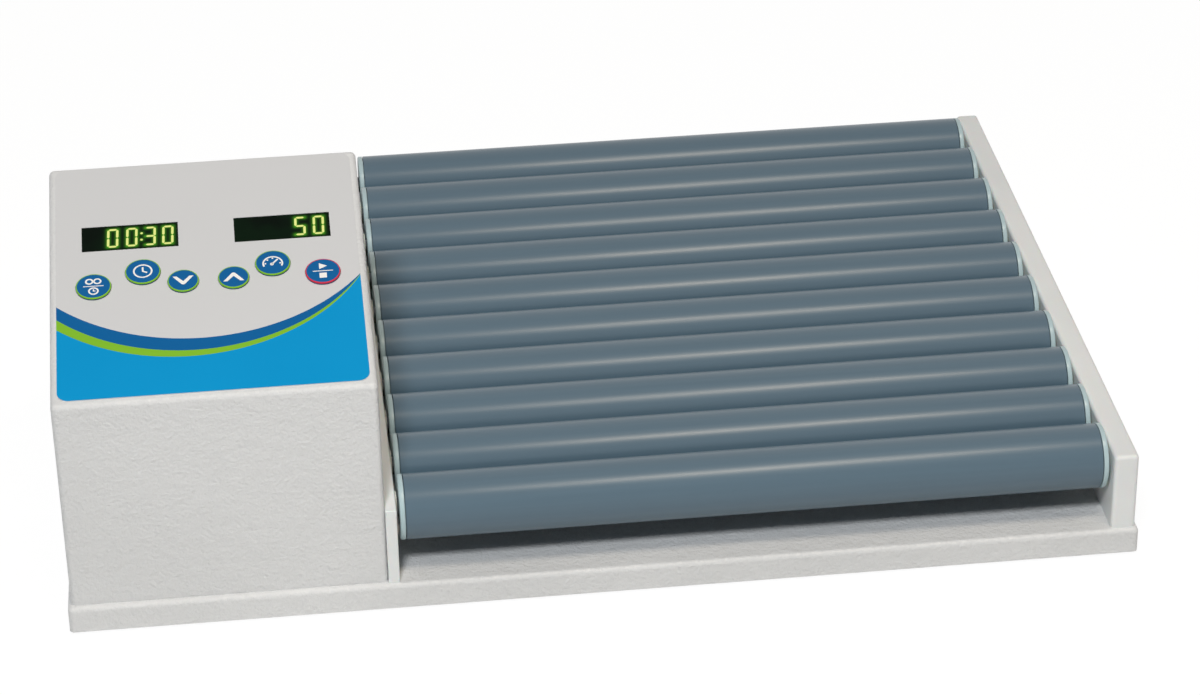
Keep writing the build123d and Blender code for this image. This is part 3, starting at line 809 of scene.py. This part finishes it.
def circle_through(a, b, c):
    """Centre and radius of the circle through three points."""
    turned_points = []
    for first, second in ((a, b), (b, c)):
        middle = ((first[0] + second[0]) / 2, (first[1] + second[1]) / 2)
        turned_points.append((middle, (second[0] - first[0], second[1] - first[1])))
    (m1, d1), (m2, d2) = turned_points
    right1 = d1[0] * m1[0] + d1[1] * m1[1]
    right2 = d2[0] * m2[0] + d2[1] * m2[1]
    cross = d1[0] * d2[1] - d1[1] * d2[0]
    x = (right1 * d2[1] - right2 * d1[1]) / cross
    y = (d1[0] * right2 - d2[0] * right1) / cross
    return (x, y), hypot(a[0] - x, a[1] - y)


def stripe_height(name):
    """Height of a printed stripe's edge over its distance across the panel."""
    left, lowest, right = stripe_heights[name]
    (x, y), radius = circle_through((stripe_left, left), (stripe_lowest, lowest), (stripe_right, right))
    return lambda u: y - sqrt(radius**2 - (u - x) ** 2)


def panel_print():
    """The printed field and the two stripes that swing over it."""
    half = stripe_right
    columns = [half * (2 * step / stripe_steps - 1) for step in range(stripe_steps + 1)]
    edges = [stripe_height(name) for name in stripe_heights]
    stripes = (("dark_stripe", dark_blue_ink), ("green_stripe", green_ink))
    for (name, material), top, bottom in zip(stripes, edges, edges[1:]):
        pairs = [((u, bottom(u)), (u, top(u))) for u in columns]
        print_mesh = film(name, [(pairs, False)], overlay_thickness, ink_thickness)
        piece(name, print_mesh, "root", "printed_overlay", material)
    corner, low = overlay_corner / mm, overlay_margin / mm
    turns = [pi / 2 * step / 8 for step in range(9)]
    bends = [half - corner + corner * sin(turn) for turn in turns]
    columns = sorted([-u for u in bends] + bends + [u for u in columns if abs(u) < half - corner])
    pairs = []
    for u in columns:
        past = max(abs(u) - (half - corner), 0)
        pairs.append(((u, low + corner - sqrt(max(corner**2 - past**2, 0))), (u, edges[2](u))))
    field = film("blue_field", [(pairs, False)], overlay_thickness, ink_thickness)
    piece("blue_field", field, "root", "printed_overlay", bright_blue_ink)


def ring_profile(edge, skin):
    """Distance from a key's axis and height above the slope along its ring, lifted off the key by skin."""
    top, bend = key_top / mm, key_fillet / mm
    points = [(edge - bend - key_ring_width, top + skin)]
    for step in range(5):
        turn = pi / 2 * step / 4
        points.append((edge - bend + (bend + skin) * sin(turn), top - bend + (bend + skin) * cos(turn)))
    return points + [(edge + skin, top - key_ring_depth)]


def key_rings():
    """The coloured ring round each key, from its top over the rounded edge and down its side."""
    for name, (u, v, diameter) in key_places.items():
        skin = ink_thickness / mm
        profile = ring_profile(diameter / 2, skin) + ring_profile(diameter / 2, -skin)[::-1]
        shape = bmesh.new()
        rows = []
        for step in range(key_sides):
            across, up = cos(tau * step / key_sides), sin(tau * step / key_sides)
            places = [on_panel((u + r * across) * mm, (v + r * up) * mm, n * mm) for r, n in profile]
            rows.append([shape.verts.new(place) for place in places])
        bridge(shape, rows, closed=True)
        mesh = outward(mesh_of(shape, f"ring_{name[4:]}"))
        ink_colour = red_ink if name == "key_start_stop" else green_ink
        piece(mesh.name, mesh, name, "blue_key", ink_colour)


def key_symbols():
    """White signs on the keys: run without end over a clock, clock, down, up, gauge, and run over stop."""
    line = symbol_line
    signs = {name: [] for name in key_places}

    def add(name, pairs, closed=False):
        u, v, _ = key_places[name]
        signs[name].append(([tuple((x + u, y + v) for x, y in pair) for pair in pairs], closed))

    add("key_down", arrow(-1))
    add("key_up", arrow(1))
    add("key_time", arc_band(0, 0, 3.9, line), True)
    add("key_time", stroke([(0, 2.5), (0, 0), (1.9, -1.1)], line))
    add("key_speed", arc_band(0, -0.6, 4.2, line, start=-25, sweep=230))
    add("key_speed", stroke([(-0.5, -1.2), (2.3, 2.0)], line))
    add("key_speed", disc(-0.35, -1.0, 0.85, sides=24))
    for mark in (180, 135, 90, 0):
        turn = radians(mark)
        reach = [(r * cos(turn), r * sin(turn) - 0.6) for r in (2.9, 3.6)]
        add("key_speed", stroke(reach, line))
    for name in ("key_timed_mode", "key_start_stop"):
        add(name, stroke([(-4.4, 0), (4.4, 0)], 0.45))
    for side in (-1, 1):
        add("key_timed_mode", arc_band(1.75 * side, 3.0, 1.45, line), True)
    add("key_timed_mode", arc_band(0, -3.1, 1.95, line), True)
    add("key_timed_mode", stroke([(0, -1.9), (0, -3.1), (0.9, -3.1)], 0.5))
    add("key_start_stop", [((-1.5, 1.2), (-1.5, 4.9)), ((1.9, 3.0), (1.9, 3.1))])
    add("key_start_stop", [((-1.6, -4.4), (-1.6, -1.3)), ((1.6, -4.4), (1.6, -1.3))])
    for name, ribbons in signs.items():
        sign = film(f"sign_{name[4:]}", ribbons, key_top, symbol_thickness)
        piece(sign.name, sign, name, "blue_key", white_ink)


def arrow(way):
    """Pairs of points of a bold chevron that points up or down, with level ends and a round tip."""
    foot, tip, inner = -2.6 * way, 2.7 * way, 0.6 * way
    radius, spread, steps = 1.1, radians(50), 8
    turns = [spread * (2 * step / steps - 1) for step in range(steps + 1)]
    bend = [((radius * sin(t), tip - way * radius * (1 - cos(t))), (0.001 * sin(t), inner)) for t in turns]
    return [((-4.6, foot), (-2.8, foot))] + bend + [((4.6, foot), (2.8, foot))]


# Seven segments by the letters a to g, lit for each figure
lit_segments = {"0": "abcdef", "3": "abcdg", "5": "acdfg"}


def segment_lines(left, figure):
    """Middle lines of a figure's lit segments, on the panel, from its left edge."""
    low, high = display_up - digit_height / 2, display_up + digit_height / 2
    inset = segment_width / 2
    xs = (left + inset, left + digit_width - inset)
    ys = (low + inset, display_up, high - inset)
    ends = {
        "a": ((xs[0], ys[2]), (xs[1], ys[2])),
        "b": ((xs[1], ys[1]), (xs[1], ys[2])),
        "c": ((xs[1], ys[0]), (xs[1], ys[1])),
        "d": ((xs[0], ys[0]), (xs[1], ys[0])),
        "e": ((xs[0], ys[0]), (xs[0], ys[1])),
        "f": ((xs[0], ys[1]), (xs[0], ys[2])),
        "g": ((xs[0], ys[1]), (xs[1], ys[1])),
    }
    return [[slanted(point) for point in ends[letter]] for letter in lit_segments[figure]]


def slanted(point):
    """A point of the display leant to the right about its middle line."""
    u, v = point
    return (u + (v - display_up) * digit_slant, v)


def segment(first, second):
    """Pairs of points of one segment: a bar with pointed ends, held back from the corners."""
    start, end = Vector(first), Vector(second)
    way = (end - start).normalized()
    side = Vector((-way.y, way.x)) * segment_width / 2
    start, end = start + way * segment_gap, end - way * segment_gap
    shoulder = way * segment_width / 2
    points = (
        (start + side * 0.15, start - side * 0.15),
        (start + shoulder + side, start + shoulder - side),
        (end - shoulder + side, end - shoulder - side),
        (end + side * 0.15, end - side * 0.15),
    )
    return [(tuple(right), tuple(left)) for left, right in points]


def distance_to(point, line):
    """Distance from a point to a straight run between two points."""
    here, start, end = Vector(point), Vector(line[0]), Vector(line[1])
    run = end - start
    share = max(0.0, min(1.0, (here - start).dot(run) / run.length_squared)) if run.length else 0.0
    return (here - start - run * share).length


def display_digits():
    """Lit figures of both displays, and the glow that they leave in the window."""
    surface = overlay_thickness - display_sink
    for name, figures in digit_places.items():
        lines = [line for left, figure in figures for line in segment_lines(left, figure)]
        ribbons = [(segment(*line), False) for line in lines]
        if name == "time_display":
            dots = [slanted((colon_u, display_up + rise)) for rise in (-2.1, 2.1)]
            ribbons += [(disc(u, v, segment_width * 0.55, sides=20), False) for u, v in dots]
            lines += [(dot, dot) for dot in dots]
        digits = film(f"{name}_figures", ribbons, surface + glow_lift, ink_thickness)
        piece(digits.name, digits, "root", "dark_display", segment_light)
        low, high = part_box(name)
        middle = (low.x + high.x) / 2 - panel_origin.x
        glow_film(f"{name}_glow", middle / mm, lines, surface)


def glow_film(name, middle, lines, base):
    """A film over a display's window whose glow attribute falls off round its lit segments."""
    half_u, half_v = (size / 2 - glow_inset for size in display_size)
    across, along = glow_grid
    verts, glow = [], []
    for row in range(along + 1):
        for column in range(across + 1):
            u = middle + half_u * (2 * column / across - 1)
            v = display_up + half_v * (2 * row / along - 1)
            verts.append(on_panel(u * mm, v * mm, base + ink_thickness))
            gap = min(distance_to((u, v), line) for line in lines)
            glow.append(exp(-((gap / glow_spread) ** glow_falloff)))
    faces = []
    for row in range(along):
        for column in range(across):
            first = row * (across + 1) + column
            faces.append((first, first + 1, first + across + 2, first + across + 1))
    mesh = bpy.data.meshes.new(name)
    mesh.from_pydata(verts, [], faces)
    attribute = mesh.attributes.new("glow", "FLOAT", "POINT")
    attribute.data.foreach_set("value", glow)
    piece(name, mesh, "root", "dark_display", display_glow)


def islands(mesh):
    """Lowest and highest corners of each separate shell of a mesh."""
    shape = bmesh.new()
    shape.from_mesh(mesh)
    bmesh.ops.remove_doubles(shape, verts=shape.verts, dist=doubles_distance)
    boxes, seen = [], set()
    for first in shape.verts:
        if first in seen:
            continue
        seen.add(first)
        shell, waiting = [], [first]
        while waiting:
            vert = waiting.pop()
            shell.append(vert.co)
            for edge in vert.link_edges:
                other = edge.other_vert(vert)
                if other not in seen:
                    seen.add(other)
                    waiting.append(other)
        lowest = Vector([min(place[axis] for place in shell) for axis in range(3)])
        highest = Vector([max(place[axis] for place in shell) for axis in range(3)])
        boxes.append((lowest, highest))
    shape.free()
    return boxes


def screw_tree():
    """Cuts a cross recess into a screw and sets a copy on each point, turned along its way attribute."""
    kinds = [("Screw", "Object"), ("Recess", "Vector"), ("Turned recess", "Vector"), ("Depth", "Float")]
    tree = group("screw_set", kinds + [("Finish", "Material")])
    wire = Wiring(tree)
    body = wire.add("GeometryNodeObjectInfo", {"Object": wire.given["Screw"]}).outputs["Geometry"]
    lift = wire.add("ShaderNodeCombineXYZ", {"X": wire.given["Depth"]}).outputs["Vector"]
    for size in ("Recess", "Turned recess"):
        slot = wire.add("GeometryNodeMeshCube", {"Size": wire.given[size]}).outputs["Mesh"]
        slot = wire.add("GeometryNodeTransform", {"Geometry": slot, "Translation": lift})
        cut = wire.add("GeometryNodeMeshBoolean", operation="DIFFERENCE", solver="EXACT")
        tree.links.new(body, cut.inputs[0])
        tree.links.new(slot.outputs["Geometry"], cut.inputs[1])
        body = cut.outputs["Mesh"]
    way = wire.add("GeometryNodeInputNamedAttribute", {"Name": "way"}, data_type="FLOAT_VECTOR")
    turn = wire.add("FunctionNodeAlignRotationToVector", {"Vector": way.outputs["Attribute"]}, axis="X")
    copies = {"Points": wire.given["Geometry"], "Instance": body, "Rotation": turn.outputs["Rotation"]}
    wire.finish(wire.add("GeometryNodeInstanceOnPoints", copies).outputs["Instances"])
    return tree


def pan_head_screws():
    """Detailed screws where the plain ones are; each has its head at the lower end of its axis."""
    places, ways = [], []
    for low, high in islands(frame["nodes"]["pan_head_screws"].data):
        size = high - low
        axis = max(range(3), key=lambda index: size[index])
        place = (low + high) / 2
        place[axis] = low[axis] + screw_head_height
        places.append(tuple(place))
        ways.append([float(index == axis) for index in range(3)])
    mesh = bpy.data.meshes.new("screw_places")
    mesh.from_pydata(places, [], [])
    directions = mesh.attributes.new("way", "FLOAT_VECTOR", "POINT")
    directions.data.foreach_set("vector", [part for way in ways for part in way])
    head, shank = screw_head_radius, screw_radius
    outline = [(-screw_head_height, 0, 0), (-screw_head_height, head, screw_head_round)]
    outline += [(0, head, screw_head_edge), (0, shank, 0), (screw_length - shank, shank, 0)]
    outline += [(screw_length, screw_point, 0), (screw_length, 0, 0)]
    screw = turned("screw", rounded(outline, 0), Vector((0, 0, 0)), finishes["bright_screw"], sides=40)
    pattern = bpy.data.objects.new("screw_pattern", screw)
    bpy.context.scene.collection.objects.link(pattern)
    values = {
        "Screw": pattern,
        "Recess": (recess_depth, recess_length, recess_width),
        "Turned recess": (recess_depth, recess_width, recess_length),
        "Depth": recess_depth / 2 - screw_head_height - 0.01 * mm,
        "Finish": finishes["bright_screw"],
    }
    made = evaluated("machine_screws", mesh, screw_tree(), values)
    screws = piece("machine_screws", made, "root", "bright_screw")
    bpy.data.objects.remove(pattern)
    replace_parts(screws, "pan_head_screws")


def inlet_blades():
    """Bright blades of the power inlet, over the plain ones in its socket."""
    low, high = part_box("power_inlet")
    middle, face = (low + high) / 2, high.y
    shape = bmesh.new()
    for across, up in blade_places:
        x, z = middle.x + socket_offset + across, middle.z + up
        ends = ((face - socket_depth, 0), (face - socket_depth + blade_length - blade_tip, 0))
        ends += ((face - socket_depth + blade_length + blade_skin, blade_tip / 2),)
        rows = []
        for y, inset in ends:
            half_x, half_z = blade_size[0] / 2 + blade_skin - inset, blade_size[1] / 2 + blade_skin - inset
            corners = ((-half_x, -half_z), (half_x, -half_z), (half_x, half_z), (-half_x, half_z))
            rows.append([shape.verts.new((x + dx, y, z + dz)) for dx, dz in corners])
        bridge(shape, rows)
        shape.faces.new(rows[-1])
        shape.faces.new(rows[0][::-1])
    piece("inlet_blades", mesh_of(shape, "inlet_blades"), "root", "bright_screw")


def rocker_marks():
    """The usual bar and circle on the two faces of the rocker."""
    low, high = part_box("power_inlet")
    middle = (low + high) / 2
    pivot = Vector((middle.x - rocker_offset, high.y - rocker_pivot_depth, middle.z))
    tilt = Matrix.Rotation(-rocker_tilt, 3, "X")
    rise = rocker_radius * sin(rocker_tilt) / 2
    for name, way in (("bar", 1), ("circle", -1)):
        up = Vector((0, rise, way * rocker_radius * cos(2 * rocker_tilt))).normalized()
        out = Vector((0, abs(up.z), -up.y * way))
        origin = pivot + tilt @ (Vector((0, rocker_crown - rise, 0)) + up * rocker_mark_up)
        axes = (tilt @ Vector((1, 0, 0)), tilt @ up, tilt @ out)

        def place(u, v, n, origin=origin, axes=axes):
            return origin + axes[0] * u + axes[1] * v + axes[2] * n

        if name == "bar":
            ribbons = [(stroke([(0, -1.6), (0, 1.6)], 0.55), False)]
        else:
            ribbons = [(arc_band(0, 0, 1.45, 0.5), True)]
        mark = film(f"rocker_{name}", ribbons, 0, symbol_thickness, place)
        piece(mark.name, mark, "rocker_switch", "black_moulding", white_ink)


dress_nodes()
rollers()
pan_head_screws()
inlet_blades()
rocker_marks()
panel_print()
key_rings()
key_symbols()
display_digits()


# Stage
floor_share = 0.90          # of its own white in what the camera sees of the floor, beside the light on it
floor_white = 1.05
world_share = 0.07          # of the world's seen white that lights matt faces


def seen_directly(nodes, links):
    """A value of 1 for what the camera sees, straight or in gloss or glass, and 0 for matt bounces."""
    path = nodes.new("ShaderNodeLightPath")
    value = path.outputs["Is Camera Ray"]
    for ray in ("Is Glossy Ray", "Is Transmission Ray"):
        either = nodes.new("ShaderNodeMath")
        either.operation = "MAXIMUM"
        links.new(value, either.inputs[0])
        links.new(path.outputs[ray], either.inputs[1])
        value = either.outputs[0]
    return value


def stage_floor():
    """Pale floor that shows white to the camera and still keeps a soft shadow."""
    bpy.ops.mesh.primitive_plane_add(size=12)
    floor = bpy.context.object
    floor.name = "floor"
    material = bpy.data.materials.new("floor")
    material.use_nodes = True
    nodes, links = material.node_tree.nodes, material.node_tree.links
    shader = nodes["Principled BSDF"]
    shader.inputs["Base Color"].default_value = srgb(236, 236, 234)
    shader.inputs["Roughness"].default_value = 0.9
    white = nodes.new("ShaderNodeEmission")
    white.inputs["Color"].default_value = (1, 1, 1, 1)
    white.inputs["Strength"].default_value = floor_white
    share = nodes.new("ShaderNodeMath")
    share.operation = "MULTIPLY"
    share.inputs[1].default_value = floor_share
    links.new(seen_directly(nodes, links), share.inputs[0])
    mixed = nodes.new("ShaderNodeMixShader")
    links.new(share.outputs[0], mixed.inputs["Fac"])
    links.new(shader.outputs[0], mixed.inputs[1])
    links.new(white.outputs[0], mixed.inputs[2])
    links.new(mixed.outputs[0], nodes["Material Output"].inputs["Surface"])
    floor.data.materials.append(material)


def world_light():
    """Even light from all round, white where it is seen."""
    world = bpy.data.worlds.new("world")
    bpy.context.scene.world = world
    world.use_nodes = True
    nodes, links = world.node_tree.nodes, world.node_tree.links
    background = nodes["Background"]
    strength = nodes.new("ShaderNodeMapRange")
    strength.inputs["To Min"].default_value = world_share
    strength.inputs["To Max"].default_value = 1.0
    links.new(seen_directly(nodes, links), strength.inputs["Value"])
    background.inputs["Color"].default_value = (1, 1, 1, 1)
    links.new(strength.outputs["Result"], background.inputs["Strength"])


def lamp(name, place, aim, width, height, power, colour, reflected=True):
    """A rectangular lamp at a place, aimed at a point; reflected tells whether gloss shows it."""
    light = bpy.data.lights.new(name, "AREA")
    light.shape = "RECTANGLE"
    light.size, light.size_y = width, height
    light.energy = power
    light.color = srgb(*colour)[:3]
    thing = bpy.data.objects.new(name, light)
    bpy.context.scene.collection.objects.link(thing)
    thing.location = place
    thing.visible_glossy = reflected
    thing.rotation_euler = (Vector(aim) - Vector(place)).to_track_quat("-Z", "Y").to_euler()


def photograph_camera():
    """The camera of the photograph, from its azimuth, elevation and roll."""
    forward = Vector((
        sin(camera_azimuth) * cos(camera_elevation),
        cos(camera_azimuth) * cos(camera_elevation),
        sin(camera_elevation),
    ))
    level = Vector((cos(camera_azimuth), -sin(camera_azimuth), 0))
    upright = level.cross(forward)
    right = level * cos(camera_roll) + upright * sin(camera_roll)
    up = upright * cos(camera_roll) - level * sin(camera_roll)
    data = bpy.data.cameras.new("camera")
    data.sensor_fit = "HORIZONTAL"
    data.sensor_width = sensor_width
    data.lens = camera_distance_px / photo_width * sensor_width
    data.clip_end = 50
    camera = bpy.data.objects.new("camera", data)
    bpy.context.scene.collection.objects.link(camera)
    turn = Matrix((right, up, -forward)).transposed().to_4x4()
    camera.matrix_world = Matrix.Translation(camera_place) @ turn
    bpy.context.scene.camera = camera


photograph_camera()
stage_floor()
world_light()
lamp("key", (-0.4, -1.55, 1.85), (0, 0, 0.03), 0.35, 0.35, 33, (250, 252, 255), reflected=False)
lamp("streak", (0.35, -0.75, 1.9), (0.05, 0, 0.05), 0.9, 0.2, 13, (255, 241, 222))
bpy.context.scene.view_settings.view_transform = "Standard"
